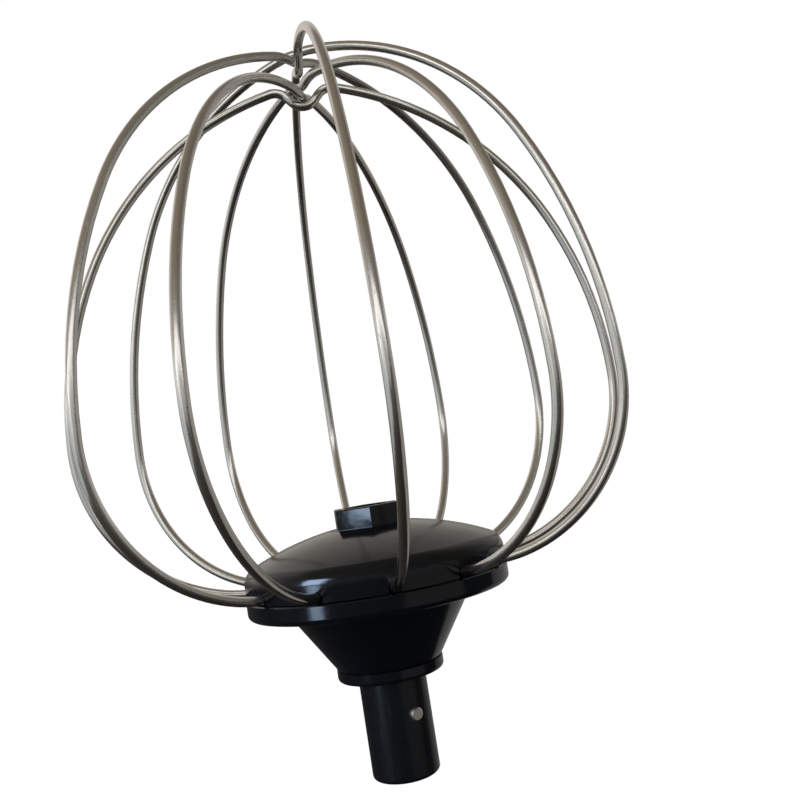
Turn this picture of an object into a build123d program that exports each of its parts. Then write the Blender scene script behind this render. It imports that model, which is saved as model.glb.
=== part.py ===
"""Stand mixer wire whisk.

Six spring-steel wire loops stand in a moulded hub on a drive shank. The legs of the loops
lie between the hub's base and its domed cover, hooked into the base at their ends, and a hex
nut on the shank's stud clamps the two mouldings together. At the crown each loop dips to the
axis, where the loops cross one above the other.

Millimetres. The origin is the centre of the shank's free end and +Z runs up the axis to the
crown of the wires.
"""
import os
from math import cos, radians, sin

from build123d import *

# Drive shank and its cross pin
shank_d = 15.8
shank_free = 23.2            # bare shank below the hub's collar
shank_end_round = 0.9
shank_seat = 18.0            # length of the shank inside the hub's socket
flat_width = 13.4            # across the two driving flats at the top of the seat
flat_length = 9.0
stud_d = 10.0
stud_drop = 0.5              # stud tip below the top of the nut
stud_tip_chamfer = 0.7
pin_d = 3.0
pin_from_end = 14.8
pin_stickout = 1.2           # each end stands out of the shank by this
pin_azimuth = -66.0
pin_end_chamfer = 0.3

# Hub base: collar, funnel and rim in one moulding
collar_d = 25.0
collar_height = 2.7
collar_round = 0.9
neck_d = 24.4                # foot of the funnel, just inside the collar
funnel_d = 44.0              # head of the funnel, under the rim
funnel_height = 15.0
funnel_round = 1.5
rim_d = 61.6
rim_height = 4.3
rim_foot_round = 1.3
rim_edge_break = 0.3

# Hub cover: domed moulding on the rim
cover_inset = 0.15           # the cover's edge stands inside the rim's by this
cover_edge_break = 0.3
dome_height = 13.3           # joint plane to the crown of the dome's sphere
dome_radius = 67.0
shoulder_round = 4.0
nut_seat_d = 20.0            # flat spot under the nut

# Hub nut
nut_width = 15.0             # across flats
nut_height = 4.7
nut_edge_chamfer = 0.25

# Wire loops, from the innermost at the crown to the outermost
wire_d = 2.2
loop_azimuths = (-1.7, 60.7, 121.4, 91.4, 30.4, 149.6)
loop_bellies = (65.2, 66.2, 64.1, 66.6, 65.1, 64.1)     # widest radius of the centre line
loop_slopes = (14.4, 5.7, 8.2, 8.5, 9.5, 8.4)           # still rising where the hump starts, degrees
loop_humps = (4.0, 14.6, 9.7, 7.6, 11.3, 12.3)          # centre-line radius of the hump
loop_flanks = (2.0, 0.8, 0.9, 1.0, 1.2, 0.9)            # straight stretch between hump and dip
loop_drops = (48.3, 13.6, 19.1, 38.0, 14.7, 3.9)        # slope of that stretch, degrees
loop_gaps = (0.0, 0.1, 0.35, 1.7, 0.1, 0.1)             # to the loop below, where they cross
dip_bend = 3.6               # centre-line radius of the dip
crown_height = 114.7         # wire plane at the hub to the innermost dip at the axis
hook_radius = 17.2           # distance of the hooked ends from the axis
hook_length = 3.4
hook_bend = 2.6              # centre-line radius of the hook
exit_inset = 2.8             # the wire starts to rise this far inside the rim
exit_bend = 32.0             # centre-line radius of the first gentle rise
exit_rise = 16.0             # slope at the end of that rise, degrees
side_lean = 26.0             # slope from upright where the side arc meets the top arc

# Clearances
socket_gap = 0.1             # shank and stud in the mouldings
thread_gap = 0.05
pin_gap = 0.04
wire_gap = 0.2               # wire in its slot and hook hole
wire_seat = 0.2              # wire above the top of the base

# Levels that follow from these
collar_z = shank_free
neck_z = collar_z + collar_height
rim_z = neck_z + funnel_height
joint_z = rim_z + rim_height
seat_z = collar_z + shank_seat
flat_z = seat_z - flat_length
wire_z = joint_z + wire_seat + wire_d / 2
dome_centre_z = joint_z + dome_height - dome_radius
nut_z = dome_centre_z + (dome_radius ** 2 - (nut_seat_d / 2) ** 2) ** 0.5
nut_top_z = nut_z + nut_height
stud_top_z = nut_top_z - stud_drop
rim_radius = rim_d / 2
cover_radius = rim_radius - cover_inset
exit_radius = rim_radius - exit_inset
wire_hole_radius = wire_d / 2 + wire_gap
bend_z = wire_z - hook_bend
hook_foot_z = bend_z - hook_length

on_floor = (Align.CENTER, Align.CENTER, Align.MIN)


def column(radius, bottom, top):
    """Round bar on the Z axis between two heights."""
    return Pos(0, 0, bottom) * Cylinder(radius, top - bottom, align=on_floor)


def corner(profile, radius, height):
    """The corner of a flat profile at this radius and height."""
    return profile.vertices().sort_by_distance((radius, height))[0]


def turned(profile):
    """Solid of revolution about the Z axis from a profile drawn as (radius, height)."""
    return revolve(Plane.XZ * profile, Axis.Z)


def shank_seat_body(gap):
    """The shank's seat in the hub, round below and with two flats above, grown by a gap."""
    lower = column(shank_d / 2 + gap, collar_z, flat_z)
    upper = column(shank_d / 2 + gap, flat_z, seat_z)
    flats = Box(2 * shank_d, flat_width + 2 * gap, flat_length, align=on_floor)
    return lower + (upper & Pos(0, 0, flat_z) * flats)


def across_shank(bar):
    """Lay an upright bar, centred on the origin, across the shank at the cross pin's place."""
    return Pos(0, 0, pin_from_end) * Rot(Z=pin_azimuth) * Rot(Y=90) * bar


def drive_shank():
    free = column(shank_d / 2, 0, collar_z)
    free = fillet(free.edges().group_by(Axis.Z)[0], shank_end_round)
    stud = column(stud_d / 2, seat_z, stud_top_z)
    stud = chamfer(stud.edges().group_by(Axis.Z)[-1], stud_tip_chamfer)
    cross_hole = across_shank(Cylinder(pin_d / 2 + pin_gap, 2 * shank_d))
    return free + shank_seat_body(0) + stud - cross_hole


def drive_pin():
    pin = Cylinder(pin_d / 2, shank_d + 2 * pin_stickout)
    return across_shank(chamfer(pin.edges().filter_by(GeomType.CIRCLE), pin_end_chamfer))


def leg_azimuths():
    """Azimuths of all the legs, two for each loop."""
    return [azimuth + side for azimuth in loop_azimuths for side in (0, 180)]


def hook_hole():
    """Hole in the base for one hooked end, with a pocket beside it for the bend."""
    hole = Pos(hook_radius, 0, 0) * column(wire_hole_radius, hook_foot_z - wire_gap, wire_z)
    pocket = extrude(SlotCenterToCenter(hook_bend, 2 * wire_hole_radius), wire_z - bend_z)
    return hole + Pos(hook_radius + hook_bend / 2, 0, bend_z) * pocket


def hub_base():
    profile = make_face(Polyline(
        (0, collar_z),
        (collar_d / 2, collar_z),
        (collar_d / 2, neck_z),
        (neck_d / 2, neck_z),
        (funnel_d / 2, rim_z),
        (rim_radius, rim_z),
        (rim_radius, joint_z),
        (0, joint_z),
        close=True,
    ))
    profile = fillet(corner(profile, collar_d / 2, collar_z), collar_round)
    profile = fillet(corner(profile, funnel_d / 2, rim_z), funnel_round)
    profile = fillet(corner(profile, rim_radius, rim_z), rim_foot_round)
    profile = chamfer(corner(profile, rim_radius, joint_z), rim_edge_break)
    base = turned(profile) - shank_seat_body(socket_gap)
    base -= column(stud_d / 2 + socket_gap, seat_z, joint_z)
    return base - [Rot(Z=azimuth) * hook_hole() for azimuth in leg_azimuths()]


def wire_slot():
    """Slot for one leg in the foot of the cover: round above the wire, open below it."""
    inner = hook_radius - wire_hole_radius
    length = rim_radius - inner
    trough = Box(length, 2 * wire_hole_radius, wire_z - joint_z, align=(Align.MIN, Align.CENTER, Align.MAX))
    arch = Rot(Y=90) * Cylinder(wire_hole_radius, length, align=on_floor)
    return Pos(inner, 0, wire_z) * (trough + arch)


def hub_cover():
    edge_z = dome_centre_z + (dome_radius ** 2 - cover_radius ** 2) ** 0.5
    profile = make_face([
        Polyline(
            (nut_seat_d / 2, nut_z),
            (0, nut_z),
            (0, joint_z),
            (cover_radius, joint_z),
            (cover_radius, edge_z),
        ),
        RadiusArc((cover_radius, edge_z), (nut_seat_d / 2, nut_z), -dome_radius),
    ])
    profile = fillet(corner(profile, cover_radius, edge_z), shoulder_round)
    profile = chamfer(corner(profile, cover_radius, joint_z), cover_edge_break)
    cover = turned(profile) - column(stud_d / 2 + socket_gap, joint_z, nut_z)
    return cover - [Rot(Z=azimuth) * wire_slot() for azimuth in leg_azimuths()]


def hub_nut():
    corner_radius = nut_width / 2 / cos(radians(30))
    nut = extrude(Pos(0, 0, nut_z) * RegularPolygon(corner_radius, 6, rotation=30), nut_height)
    nut = chamfer(nut.edges().group_by(Axis.Z)[-1], nut_edge_chamfer)
    return nut - column(stud_d / 2 + thread_gap, nut_z, nut_top_z)


def loop_radii(level, dip_z):
    """Radii of the lower bend, side arc and top arc of a loop, all tangent to each other.

    The lower bend turns the leg upright at the loop's widest radius. The side and top arcs
    share the way from there to the hump, so their two radii follow from its place.
    """
    belly, hump, flank = loop_bellies[level], loop_humps[level], loop_flanks[level]
    rise, lean = radians(exit_rise), radians(90 + side_lean)
    top, down = radians(180 - loop_slopes[level]), radians(180 + loop_drops[level])
    lower = (belly - exit_radius - exit_bend * sin(rise)) / (1 - sin(rise))
    belly_z = wire_z + exit_bend * (1 - cos(rise)) + lower * cos(rise)
    hump_x = -(hump * (sin(down) - sin(top)) + flank * cos(down) + dip_bend * sin(down))
    hump_z = dip_z + hump * (cos(down) - cos(top)) - flank * sin(down) + dip_bend * (1 + cos(down))
    # Turning from heading a to b on radius r moves (r (sin b - sin a), r (cos a - cos b))
    a, b = sin(lean) - 1, sin(top) - sin(lean)
    c, d = -cos(lean), cos(lean) - cos(top)
    across, up = hump_x - belly, hump_z - belly_z
    det = a * d - b * c
    return lower, (across * d - b * up) / det, (a * up - c * across) / det


def wire_loop(level):
    """One bent wire: hook, level run, rise, belly, hump and dip, then the same mirrored."""
    dip_z = wire_z + crown_height + level * wire_d + sum(loop_gaps[:level + 1])
    slope, drop = loop_slopes[level], loop_drops[level]
    lower, side, top = loop_radii(level, dip_z)
    hook = Line((hook_radius, hook_foot_z), (hook_radius, bend_z))
    edges = [hook, JernArc(hook @ 1, hook % 1, hook_bend, -90)]
    edges.append(Line(edges[-1] @ 1, (exit_radius, wire_z)))
    bends = [
        (exit_bend, exit_rise),
        (lower, 90 - exit_rise),
        (side, side_lean),
        (top, 90 - side_lean - slope),
        (loop_humps[level], slope + drop),
    ]
    for radius, turn in bends:
        edges.append(JernArc(edges[-1] @ 1, edges[-1] % 1, radius, turn))
    edges.append(Line(edges[-1] @ 1, edges[-1] @ 1 + edges[-1] % 1 * loop_flanks[level]))
    edges.append(JernArc(edges[-1] @ 1, edges[-1] % 1, dip_bend, -drop))
    edges += [edge.mirror(Plane.YZ) for edge in reversed(edges)]
    path = Plane.XZ * Wire(edges)
    section = Plane(path @ 0, z_dir=path % 0) * Circle(wire_d / 2)
    return Rot(Z=loop_azimuths[level]) * sweep(section, path=path)


os.makedirs("parts", exist_ok=True)
export_step(drive_shank(), "parts/drive_shank.step")
export_step(drive_pin(), "parts/drive_pin.step")
export_step(hub_base(), "parts/hub_base.step")
export_step(hub_cover(), "parts/hub_cover.step")
export_step(hub_nut(), "parts/hub_nut.step")
for level in range(len(loop_azimuths)):
    export_step(wire_loop(level), f"parts/wire_loop_{level + 1}.step")
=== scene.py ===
"""Stand mixer wire whisk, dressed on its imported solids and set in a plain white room."""

import bpy
import numpy as np
from mathutils import Matrix, Vector


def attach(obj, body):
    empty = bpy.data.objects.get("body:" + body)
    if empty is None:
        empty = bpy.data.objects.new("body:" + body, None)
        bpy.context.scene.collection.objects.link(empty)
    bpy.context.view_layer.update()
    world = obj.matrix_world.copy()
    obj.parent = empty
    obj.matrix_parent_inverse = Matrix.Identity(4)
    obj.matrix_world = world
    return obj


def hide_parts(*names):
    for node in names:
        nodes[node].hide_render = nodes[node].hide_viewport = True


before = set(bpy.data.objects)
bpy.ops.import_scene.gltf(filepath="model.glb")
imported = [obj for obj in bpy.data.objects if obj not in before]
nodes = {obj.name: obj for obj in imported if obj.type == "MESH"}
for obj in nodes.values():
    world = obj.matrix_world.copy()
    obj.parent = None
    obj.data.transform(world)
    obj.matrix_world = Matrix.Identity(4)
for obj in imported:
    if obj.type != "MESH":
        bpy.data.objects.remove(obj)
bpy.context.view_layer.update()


# Drive shank: the round bar that goes up into the mixer's socket. It is a moulding in black
# nylon with a satin skin, seated in the hub and held there by the nut on its stud.
class Signal:
    """A shader output. Python's + and * on it add Math nodes, and add() makes any other node."""

    def __init__(self, tree, socket=None):
        self.tree, self.socket = tree, socket

    def add(self, kind, settings={}, sockets={}, out=0):
        """A node of this kind with its settings, then the values or links of its sockets."""
        node = self.tree.nodes.new(kind)
        for name, value in settings.items():
            if name == "stops":
                elements = node.color_ramp.elements
                elements[0].position, elements[1].position = value[0][0], value[-1][0]
                elements[0].color, elements[1].color = (*value[0][1], 1), (*value[-1][1], 1)
                for place, colour in value[1:-1]:
                    elements.new(place).color = (*colour, 1)
            else:
                setattr(node, name, value)
        for name, value in sockets.items():
            if isinstance(value, Signal):
                self.tree.links.new(value.socket, node.inputs[name])
            else:
                node.inputs[name].default_value = value
        return Signal(self.tree, node.outputs[out])

    def math(self, operation, other):
        return self.add("ShaderNodeMath", {"operation": operation}, {0: self, 1: other})

    def __add__(self, other):
        return self.math("ADD", other)

    def __mul__(self, other):
        return self.math("MULTIPLY", other)

    __radd__, __rmul__ = __add__, __mul__

    def band(self, low, high):
        """0 below the low value, 1 above the high one, smooth in between."""
        sockets = {"Value": self, "From Min": low, "From Max": high}
        return self.add("ShaderNodeMapRange", {"interpolation_type": "SMOOTHSTEP"}, sockets)

    def tint(self, low_colour, high_colour):
        """Colour that goes from one to the other as this value goes from 0 to 1."""
        low, high = (end if isinstance(end, Signal) else (*end, 1) for end in (low_colour, high_colour))
        return self.add("ShaderNodeMix", {"data_type": "RGBA"}, {0: self, 6: low, 7: high}, out=2)

    def relief(self, strength, distance):
        """Normal of a surface that stands out by this value times the distance, in metres."""
        sockets = {"Strength": strength, "Distance": distance, "Height": self}
        return self.add("ShaderNodeBump", {}, sockets)


def finish_of(name):
    """An empty material with its Principled shader, and a Signal that starts its node tree."""
    material = bpy.data.materials.new(name)
    material.use_nodes = True
    tree = material.node_tree
    return material, tree.nodes["Principled BSDF"].inputs, Signal(tree)


def link(shader, **sources):
    """Feed sockets of the shader, named with underscores for blanks."""
    for name, source in sources.items():
        source.tree.links.new(source.socket, shader[name.replace("_", " ")])


def noise_at(start, place, scale, detail=3.0):
    """Fractal noise over a place, with this many cells to the metre."""
    return start.add("ShaderNodeTexNoise", {}, {"Vector": place, "Scale": scale, "Detail": detail})


def wear(node, material):
    """Give a solid this material alone."""
    node.data.materials.clear()
    node.data.materials.append(material)


plastic_ior = 1.4
shank_finish, shader, start = finish_of("satin_black_nylon")
shader["IOR"].default_value = plastic_ior
place = start.add("ShaderNodeTexCoord", out="Object")
drawn_out = start.add("ShaderNodeMapping", {}, {"Vector": place, "Scale": (1.0, 1.0, 0.12)})
mottle = noise_at(start, place, 260.0)
rub = noise_at(start, drawn_out, 900.0, 2.0).band(0.52, 0.75)
link(shader, Base_Color=mottle.tint((0.0006, 0.0012, 0.0023), (0.0017, 0.0024, 0.0038)))
link(shader, Roughness=0.22 + 0.08 * mottle + 0.10 * rub)
grain = noise_at(start, place, 2600.0)
link(shader, Normal=grain.relief(0.06, 0.0002))
wear(nodes["drive_shank"], shank_finish)

# Cross pin: a ground steel pin, fitted through a bored hole in the shank. Its ends stand out of the
# shank and turn in the mixer's bayonet slots.
pin_finish, shader, start = finish_of("ground_steel")
shader["Metallic"].default_value = 1.0
place = start.add("ShaderNodeTexCoord", out="Object")
mottle = noise_at(start, place, 700.0)
link(shader, Base_Color=mottle.tint((0.50, 0.47, 0.43), (0.66, 0.63, 0.59)))
link(shader, Roughness=0.24 + 0.16 * mottle)
wear(nodes["drive_pin"], pin_finish)

# Hub: a funnel-shaped base and a domed cover, both moulded in glossy black plastic. The cover
# lies on the base's rim and holds the wires down in its slots.
hub_finish, shader, start = finish_of("gloss_black_moulding")
shader["IOR"].default_value = plastic_ior
place = start.add("ShaderNodeTexCoord", out="Object")
mottle = noise_at(start, place, 120.0)
dust = noise_at(start, place, 3200.0, 1.0).band(0.70, 0.80)
link(shader, Base_Color=dust.tint((0.0008, 0.0014, 0.0026), (0.006, 0.006, 0.007)))
link(shader, Roughness=0.11 + 0.07 * mottle + 0.10 * dust)
skin = noise_at(start, place, 420.0, 1.0)
link(shader, Normal=skin.relief(0.05, 0.0004))
for name in ("hub_base", "hub_cover"):
    wear(nodes[name], hub_finish)

# Hub nut: a hex nut in glossy black plastic with crisp edges. It is run down the stud on to the flat
# spot of the dome and clamps cover and base together.
nut_finish, shader, start = finish_of("gloss_black_nut")
shader["IOR"].default_value = plastic_ior
place = start.add("ShaderNodeTexCoord", out="Object")
mottle = noise_at(start, place, 300.0)
link(shader, Base_Color=mottle.tint((0.0010, 0.0014, 0.0022), (0.0018, 0.0023, 0.0033)))
link(shader, Roughness=0.05 + 0.05 * mottle)
sink = noise_at(start, place, 400.0, 1.0)
link(shader, Normal=sink.relief(0.04, 0.0002))
wear(nodes["hub_nut"], nut_finish)

# Wire loops: bright drawn stainless wire bent to six loops, their ends hooked into the base
# under the cover. They cross one above the other at the crown.
# Sizes are in millimetres and turns in degrees, up to the mesh.
wire_radius, wire_level = 1.1, 46.5
hook_at, hook_reach, hook_bend = 17.2, 3.4, 2.6
leaves_hub_at, first_bend, first_rise = 28.0, 32.0, 16.0
side_lean, dip_bend, crown_level = 26.0, 3.6, 161.2
rings_apart, ring_points = 2.5, 28
# Azimuth, widest radius, slope into the hump, hump radius, flank, drop, gap to the loop below
loops = {
    "wire_loop_1": (-1.7, 65.2, 14.4, 4.0, 2.0, 48.3, 0.0),
    "wire_loop_2": (60.7, 66.2, 5.7, 14.6, 0.8, 13.6, 0.1),
    "wire_loop_3": (121.4, 64.1, 8.2, 9.7, 0.9, 19.1, 0.35),
    "wire_loop_4": (91.4, 66.6, 8.5, 7.6, 1.0, 38.0, 1.7),
    "wire_loop_5": (30.4, 65.1, 9.5, 11.3, 1.2, 14.7, 0.1),
    "wire_loop_6": (149.6, 64.1, 8.4, 12.3, 0.9, 3.9, 0.1),
}


def bent(place, heading, moves):
    """A path in one plane from a place and a heading, by straight runs and arcs.

    A move is (length, 0) for a run or (radius, turn) for an arc. An arc that turns from heading
    a to a + t on radius r goes to r (sin(a + t) - sin a, cos a - cos(a + t)), on the other side
    for a turn to the right. Gives the points, their headings and their lengths along the path.
    """
    points, headings, lengths = [np.array([place])], [np.array([heading])], [np.zeros(1)]
    for size, turn in moves:
        here, facing, gone = points[-1][-1], headings[-1][-1], lengths[-1][-1]
        steps = max(2, int(np.ceil(abs(turn) / rings_apart)))
        step = np.linspace(0.0, 1.0, 1 + steps)[1:]
        if turn == 0:
            faces = np.full(step.shape, facing)
            offset = size * step[:, None] * np.array([np.cos(facing), np.sin(facing)])
            lengths.append(gone + size * step)
        else:
            faces = facing + np.radians(turn) * step
            offset = np.sign(turn) * size * np.stack(
                [np.sin(faces) - np.sin(facing), np.cos(facing) - np.cos(faces)], axis=1)
            lengths.append(gone + size * abs(np.radians(turn)) * step)
        points.append(here + offset)
        headings.append(faces)
    return np.concatenate(points), np.concatenate(headings), np.concatenate(lengths)


def arc_radii(dip_level, belly, slope, hump, flank, drop):
    """Radii of the lower bend, the side arc and the top arc, all tangent to each other.

    The lower bend turns the leg upright at its widest. The side and top arcs share the way from
    there to the hump, two equations that are linear in their radii.
    """
    rise, lean, top, down = np.radians([first_rise, 90 + side_lean, 180 - slope, 180 + drop])
    lower = (belly - leaves_hub_at - first_bend * np.sin(rise)) / (1 - np.sin(rise))
    belly_level = wire_level + first_bend * (1 - np.cos(rise)) + lower * np.cos(rise)
    hump_x = -(hump * (np.sin(down) - np.sin(top)) + flank * np.cos(down) + dip_bend * np.sin(down))
    hump_z = (dip_level + hump * (np.cos(down) - np.cos(top)) - flank * np.sin(down)
              + dip_bend * (1 + np.cos(down)))
    turns = np.array([[np.sin(lean) - 1, np.sin(top) - np.sin(lean)],
                      [-np.cos(lean), np.cos(lean) - np.cos(top)]])
    side, crown = np.linalg.solve(turns, [hump_x - belly, hump_z - belly_level])
    return lower, side, crown


def tube(points, headings, lengths, azimuth, radius, count):
    """Round tube along a path in the upright plane at this azimuth, with count points to a ring.

    The ring at a path point p is p + radius (cos f n + sin f b), with n the normal of the path
    in its plane, b the normal of the plane and f the angle round the wire. Each vertex keeps
    (length along, radius cos f, radius sin f), so that drawing marks follow the wire.
    """
    a = np.radians(azimuth)
    out, side = np.array([np.cos(a), np.sin(a), 0.0]), np.array([np.sin(a), -np.cos(a), 0.0])
    up = np.array([0.0, 0.0, 1.0])
    line = points[:, :1] * out + points[:, 1:] * up
    normal = -np.sin(headings)[:, None] * out + np.cos(headings)[:, None] * up
    f = np.linspace(0.0, 2 * np.pi, count, endpoint=False)
    ring = np.cos(f)[None, :, None] * normal[:, None, :] + np.sin(f)[None, :, None] * side
    verts = (line[:, None, :] + radius * ring).reshape(-1, 3)
    along = np.broadcast_to(lengths[:, None], (len(points), count))
    drawn = np.stack([along, 0 * along + radius * np.cos(f), 0 * along + radius * np.sin(f)], axis=2)
    row, here = np.meshgrid(np.arange(len(points) - 1) * count, np.arange(count), indexing="ij")
    beside = (here + 1) % count
    quads = np.stack([row + here, row + beside, row + count + beside, row + count + here], axis=2)
    ends = [list(range(count))[::-1], list(range(len(verts) - count, len(verts)))]
    return verts, quads.reshape(-1, 4).tolist(), ends, drawn.reshape(-1, 3)


wire_finish, shader, start = finish_of("bright_drawn_wire")
shader["Metallic"].default_value = 1.0
drawn = start.add("ShaderNodeAttribute", {"attribute_name": "drawn"}, out="Vector")
lengthwise = start.add("ShaderNodeMapping", {}, {"Vector": drawn, "Scale": (0.02, 1.0, 1.0)})
mottle = noise_at(start, drawn, 60.0)
lines = noise_at(start, lengthwise, 9000.0, 2.0)
nicks = noise_at(start, drawn, 900.0, 2.0).band(0.62, 0.74)
link(shader, Base_Color=(0.6 * mottle + 0.4 * lines).tint((0.56, 0.545, 0.525), (0.68, 0.665, 0.645)))
link(shader, Roughness=0.10 + 0.10 * lines + 0.05 * mottle + 0.12 * nicks)
link(shader, Normal=lines.relief(0.35, 0.00004))

level = crown_level
wires = bpy.data.collections.new("wires")
for name, (azimuth, belly, slope, hump, flank, drop, gap) in loops.items():
    level += gap
    lower, side, crown = arc_radii(level, belly, slope, hump, flank, drop)
    moves = [(hook_reach, 0), (hook_bend, -90), (leaves_hub_at - hook_at - hook_bend, 0),
             (first_bend, first_rise), (lower, 90 - first_rise), (side, side_lean),
             (crown, 90 - side_lean - slope), (hump, slope + drop), (flank, 0), (dip_bend, -drop)]
    foot = (hook_at, wire_level - hook_bend - hook_reach)
    points, headings, lengths = bent(foot, np.pi / 2, moves)
    mirror = slice(-2, None, -1)
    points = np.concatenate([points, points[mirror] * (-1, 1)])
    headings = np.concatenate([headings, -headings[mirror]])
    lengths = np.concatenate([lengths, 2 * lengths[-1] - lengths[mirror]])
    verts, quads, ends, marks = tube(
        points / 1000, headings, lengths / 1000, azimuth, wire_radius / 1000, ring_points)
    mesh = bpy.data.meshes.new(name + "_drawn")
    mesh.from_pydata(verts.tolist(), [], quads + ends)
    mesh.polygons.foreach_set("use_smooth", [True] * len(quads) + [False] * len(ends))
    mesh.attributes.new("drawn", "FLOAT_VECTOR", "POINT").data.foreach_set("vector", marks.ravel())
    piece = bpy.data.objects.new(name + "_drawn", mesh)
    bpy.context.scene.collection.objects.link(piece)
    wires.objects.link(piece)
    wear(piece, wire_finish)
    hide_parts(name)
    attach(piece, "root")
    level += 2 * wire_radius

# Room: a white floor below the whisk, a white world behind it, and the walls and window that
# polished things reflect.
floor_half, floor_level = 4.0, -0.06
floor_mesh = bpy.data.meshes.new("floor")
corners = np.array([(-1, -1, 0), (1, -1, 0), (1, 1, 0), (-1, 1, 0)]) * floor_half + (0, 0, floor_level)
floor_mesh.from_pydata(corners.tolist(), [], [(0, 1, 2, 3)])
floor = bpy.data.objects.new("floor", floor_mesh)
bpy.context.scene.collection.objects.link(floor)
floor_finish, shader, start = finish_of("white_floor")
shader["Base Color"].default_value = (1, 1, 1, 1)
shader["Roughness"].default_value = 1.0
shader["Specular IOR Level"].default_value = 0.0
shader["Emission Color"].default_value = (1, 1, 1, 1)
shader["Emission Strength"].default_value = 0.04
wear(floor, floor_finish)
# Polished pieces reflect the foot of the walls in place of the floor
floor.visible_glossy = False

world = bpy.data.worlds.new("white_room")
bpy.context.scene.world = world
world.use_nodes = True
start = Signal(world.node_tree)
direction = start.add("ShaderNodeTexCoord", out="Generated")
across, away, up = (
    start.add("ShaderNodeSeparateXYZ", {}, {"Vector": direction}, out=axis) for axis in "XYZ")
height = 0.5 * up + 0.5
# Colours of the front and back wall by height, from straight down at 0 to straight up at 1
front_stops = [
    (0.0, (0.03, 0.027, 0.023)), (0.25, (0.064, 0.059, 0.051)), (0.43, (0.14, 0.132, 0.118)),
    (0.52, (0.20, 0.192, 0.178)), (0.60, (0.34, 0.34, 0.34)), (0.70, (0.38, 0.355, 0.32)),
    (0.80, (0.31, 0.26, 0.195)), (1.0, (0.30, 0.25, 0.185))]
back_stops = [
    (0.0, (0.03, 0.028, 0.026)), (0.46, (0.07, 0.065, 0.06)), (0.55, (0.36, 0.33, 0.30)),
    (0.60, (0.82, 0.76, 0.69)), (0.88, (0.78, 0.72, 0.65)), (0.93, (0.30, 0.27, 0.24)),
    (1.0, (0.26, 0.235, 0.205))]
front, back = (start.add("ShaderNodeValToRGB", {"stops": stops}, {"Fac": height})
               for stops in (front_stops, back_stops))
walls = away.band(-0.1, 0.5).tint(front, back)
shade = (0.5 * across + 0.5).tint((1.15, 1.15, 1.15), (0.45, 0.45, 0.45))
multiply = {"data_type": "RGBA", "blend_type": "MULTIPLY"}
room = start.add("ShaderNodeMix", multiply, {0: 1.0, 6: walls, 7: shade}, out=2)
colour = start.add("ShaderNodeLightPath", out="Is Glossy Ray").tint((1, 1, 1), room)
world.node_tree.links.new(colour.socket, world.node_tree.nodes["Background"].inputs["Color"])


def lamp(name, azimuth, elevation, distance, size, strength, colour, receivers):
    """A soft lamp that looks at the whisk from this azimuth, 0 from the front and 90 from the right.

    Its power is strength times pi times its area, so that a mirror shows it with this strength. It
    lights its receivers alone, since one light for all drew white lines along every wire.
    """
    a, e = np.radians(azimuth), np.radians(elevation)
    data = bpy.data.lights.new(name, "AREA")
    data.shape = "RECTANGLE"
    data.size, data.size_y = size
    data.energy, data.color = strength * np.pi * size[0] * size[1], colour
    made = bpy.data.objects.new(name, data)
    aim = Vector((0.0, 0.0, 0.08))
    out = Vector((np.sin(a) * np.cos(e), -np.cos(a) * np.cos(e), np.sin(e)))
    made.location = aim + out * distance
    made.rotation_mode = "QUATERNION"
    made.rotation_quaternion = out.to_track_quat("Z", "Y")
    made.visible_camera = False
    made.light_linking.receiver_collection = receivers
    bpy.context.scene.collection.objects.link(made)


def lit_together(name, pieces):
    """A group of pieces for the lamps that light it and nothing else."""
    group = bpy.data.collections.new(name)
    for piece in pieces:
        group.objects.link(piece)
    return group


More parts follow.
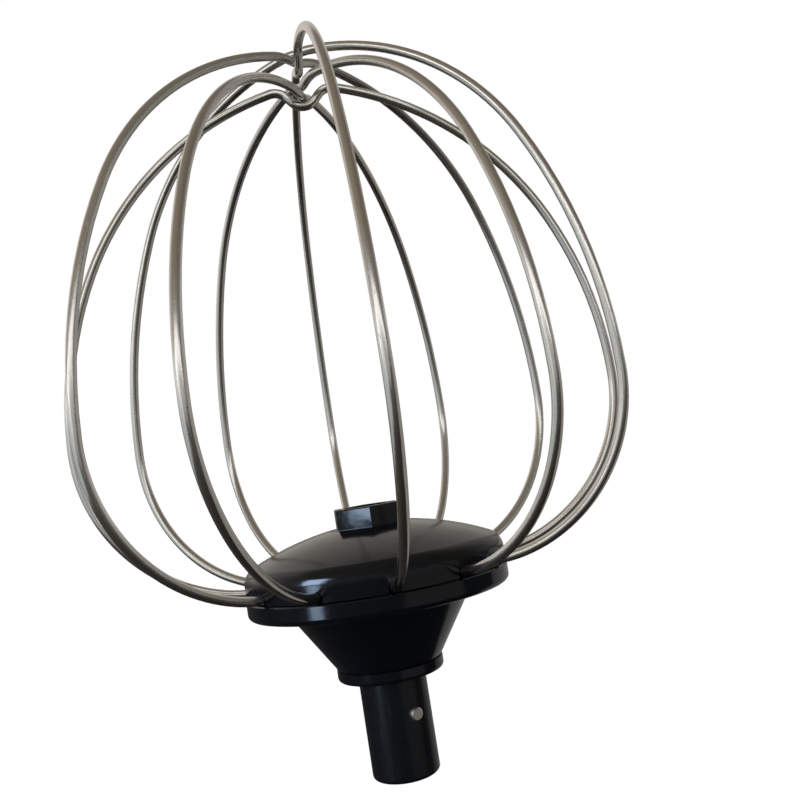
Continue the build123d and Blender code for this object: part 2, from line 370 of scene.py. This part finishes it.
nut_piece = [nodes["hub_nut"]]
other_pieces = [nodes[name] for name in ("drive_shank", "drive_pin", "hub_base", "hub_cover")]
black_end = lit_together("black_end", other_pieces + nut_piece)
shank_and_hub = lit_together("shank_and_hub", other_pieces)
nut_alone = lit_together("nut_alone", nut_piece)
lowest_loop = lit_together("lowest_loop", [bpy.data.objects["wire_loop_1_drawn"]])
highest_loop = lit_together("highest_loop", [bpy.data.objects["wire_loop_6_drawn"]])

daylight, wall_white, lamp_white = (0.56, 0.74, 1.0), (1.0, 0.98, 0.95), (1.0, 0.99, 0.975)
lamp("window_low", -58.0, -5.0, 0.5, (0.10, 0.16), 10.0, daylight, shank_and_hub)
lamp("window_high", -60.0, 20.0, 0.5, (0.16, 0.22), 21.0, (0.52, 0.70, 1.0), shank_and_hub)
lamp("window_pane", -52.8, -3.35, 0.5, (0.058, 0.037), 15.0, daylight, nut_alone)
lamp("right_wall", 42.0, -8.0, 0.8, (0.8, 0.5), 0.22, wall_white, black_end)
lamp("back_wall", 140.0, -20.0, 0.8, (1.0, 0.65), 0.32, wall_white, black_end)
lamp("light_strip", -16.0, 20.0, 1.2, (3.8, 0.22), 1.35, lamp_white, wires)
lamp("front_glow", -15.0, 6.0, 1.0, (1.5, 0.30), 0.28, wall_white, wires)
lamp("left_glow", -76.0, -2.0, 1.0, (2.0, 0.64), 0.46, (0.87, 0.98, 1.0), wires)
lamp("right_glow", 100.0, -17.0, 1.0, (1.6, 1.45), 0.28, (1.0, 0.95, 0.88), wires)
lamp("lowest_glow", -11.0, 58.0, 0.24, (0.22, 0.14), 0.80, lamp_white, lowest_loop)
lamp("highest_glow", -48.0, 35.0, 0.22, (0.10, 0.12), 0.48, lamp_white, highest_loop)

# Camera: close in front of the whisk, a little above the level of its nut, looking up slightly and
# tilted to one side.
eye = Vector((-16.882, -207.224, 70.883)) / 1000
right = Vector((0.97961, -0.12546, -0.15693))
upward = Vector((0.14591, -0.09272, 0.98494))
lens = bpy.data.cameras.new("camera")
lens.sensor_width = 36.0
lens.lens = 39.0725
lens.clip_start, lens.clip_end = 0.01, 20.0
camera = bpy.data.objects.new("camera", lens)
turn = Matrix((right, upward, right.cross(upward))).transposed()
camera.matrix_world = Matrix.Translation(eye) @ turn.to_4x4()
bpy.context.scene.collection.objects.link(camera)
bpy.context.scene.camera = camera
bpy.context.scene.view_settings.view_transform = "Standard"
